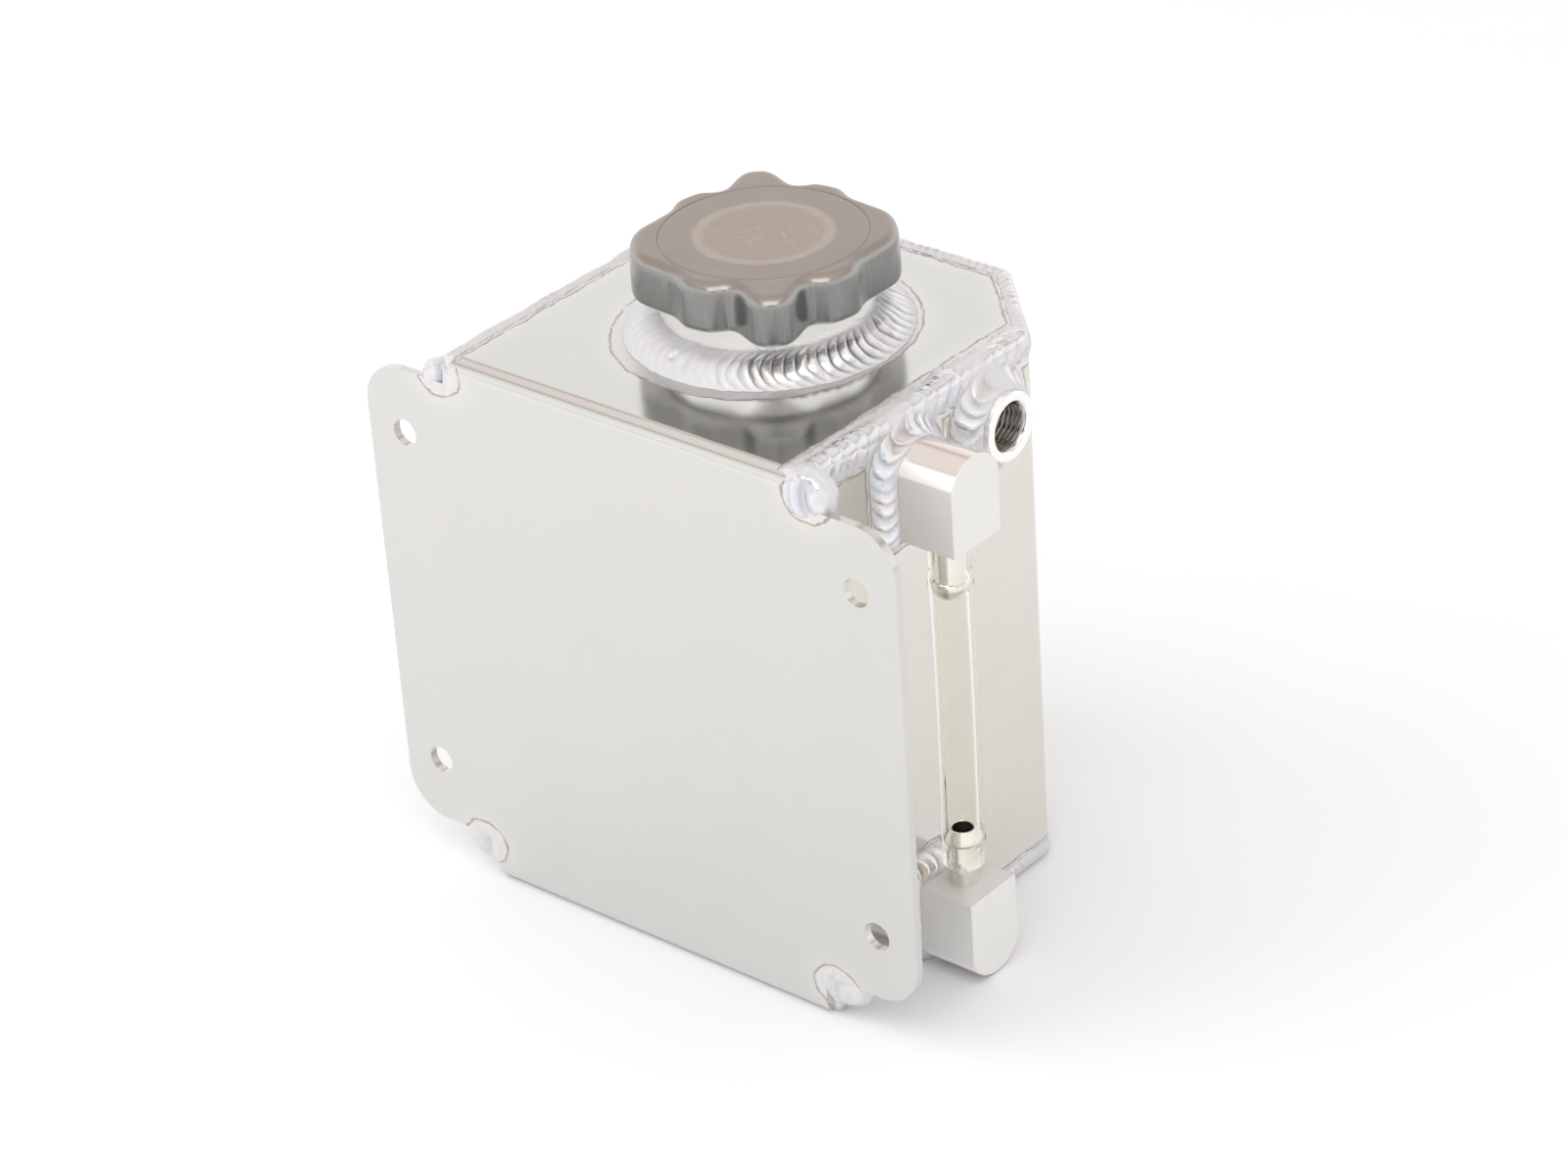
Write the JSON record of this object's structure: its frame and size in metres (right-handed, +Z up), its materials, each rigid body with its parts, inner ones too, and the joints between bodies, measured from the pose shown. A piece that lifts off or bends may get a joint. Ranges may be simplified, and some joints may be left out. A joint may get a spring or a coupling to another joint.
{
  "type": "coolant overflow tank",
  "caption": "Welded sheet aluminium coolant tank with a drilled mounting plate, lobed screw pressure cap on a turned neck, clear level tube between drilled blocks, and threaded ports.",
  "frame": {"origin": "centre of the four mounting holes, on the mounting face", "axes": "+X along the mounting plate towards the sight tube, +Y from the mounting face into the tank, +Z up towards the cap"},
  "size_m": [0.1778, 0.1205, 0.1866],
  "materials": {
    "mill_sheet": "mill finish, satin",
    "weld_metal": "as welded, rippled",
    "turned_aluminium": "bright turned",
    "milled_bar": "fine saw and mill marks",
    "plated_barb": "bright",
    "cap_metal": "satin grey",
    "clear_tube": "clear, faint yellow tint",
    "black_rubber": "matt",
    "black_plastic": "moulded",
    "spring_steel": "bright"
  },
  "bodies": {
    "tank": {"front_wrap_sheet": "mill_sheet", "side_and_back_sheet": "mill_sheet", "filler_neck": "turned_aluminium", "vent_bung": "turned_aluminium", "feed_bung": "turned_aluminium", "upper_sight_block": "milled_bar", "lower_sight_block": "milled_bar", "upper_hose_barb": "plated_barb", "lower_hose_barb": "plated_barb", "sight_tube": "clear_tube", "neck_weld": "weld_metal", "top_right_weld": "weld_metal", "top_left_weld": "weld_metal", "top_back_weld": "weld_metal", "bottom_right_weld": "weld_metal", "bottom_left_weld": "weld_metal", "bottom_back_weld": "weld_metal", "upper_right_corner_weld": "weld_metal", "upper_left_corner_weld": "weld_metal", "lower_right_corner_weld": "weld_metal", "lower_left_corner_weld": "weld_metal", "right_flange_weld": "weld_metal", "left_flange_weld": "weld_metal", "upper_block_weld": "weld_metal", "lower_block_weld": "weld_metal", "vent_bung_weld": "weld_metal", "feed_bung_weld": "weld_metal"},
    "valve_cartridge": {"valve_housing": "black_plastic", "housing_oring": "black_rubber", "pressure_spring": "spring_steel"},
    "cap": {"cap_shell": "cap_metal", "cap_top_disc": "cap_metal", "cap_gasket": "black_rubber", "cap_pivot_rivet": "spring_steel"},
    "pressure_valve": {"pressure_valve_plate": "spring_steel", "pressure_valve_seal": "black_rubber", "vacuum_spring": "spring_steel"},
    "vacuum_valve": {"vacuum_valve_poppet": "spring_steel", "vacuum_valve_seal": "black_rubber"}
  },
  "joints": [
    {"name": "cap_lift", "type": "slide", "parent": "tank", "child": "valve_cartridge", "axis": [0, 0, 1], "range_m": [0, 0.01]},
    {"name": "cap_turn", "type": "hinge", "parent": "valve_cartridge", "child": "cap", "pos_m": [0, 0.0615, 0.0964], "axis": [0, 0, 1], "range_deg": [0, 900]},
    {"name": "pressure_valve_slide", "type": "slide", "parent": "valve_cartridge", "child": "pressure_valve", "axis": [0, 0, 1], "range_m": [0, 0.0024], "stiffness_N_per_m": 4000, "springref_m": -0.006, "deforming": ["pressure_spring"]},
    {"name": "vacuum_valve_slide", "type": "slide", "parent": "pressure_valve", "child": "vacuum_valve", "axis": [0, 0, -1], "range_m": [0, 0.0012], "stiffness_N_per_m": 150, "springref_m": -0.002, "deforming": ["vacuum_spring"]}
  ],
  "couplings": [
    {"joint": "cap_lift", "follows": "cap_turn", "m_per_rad": 0.00063662}
  ]
}
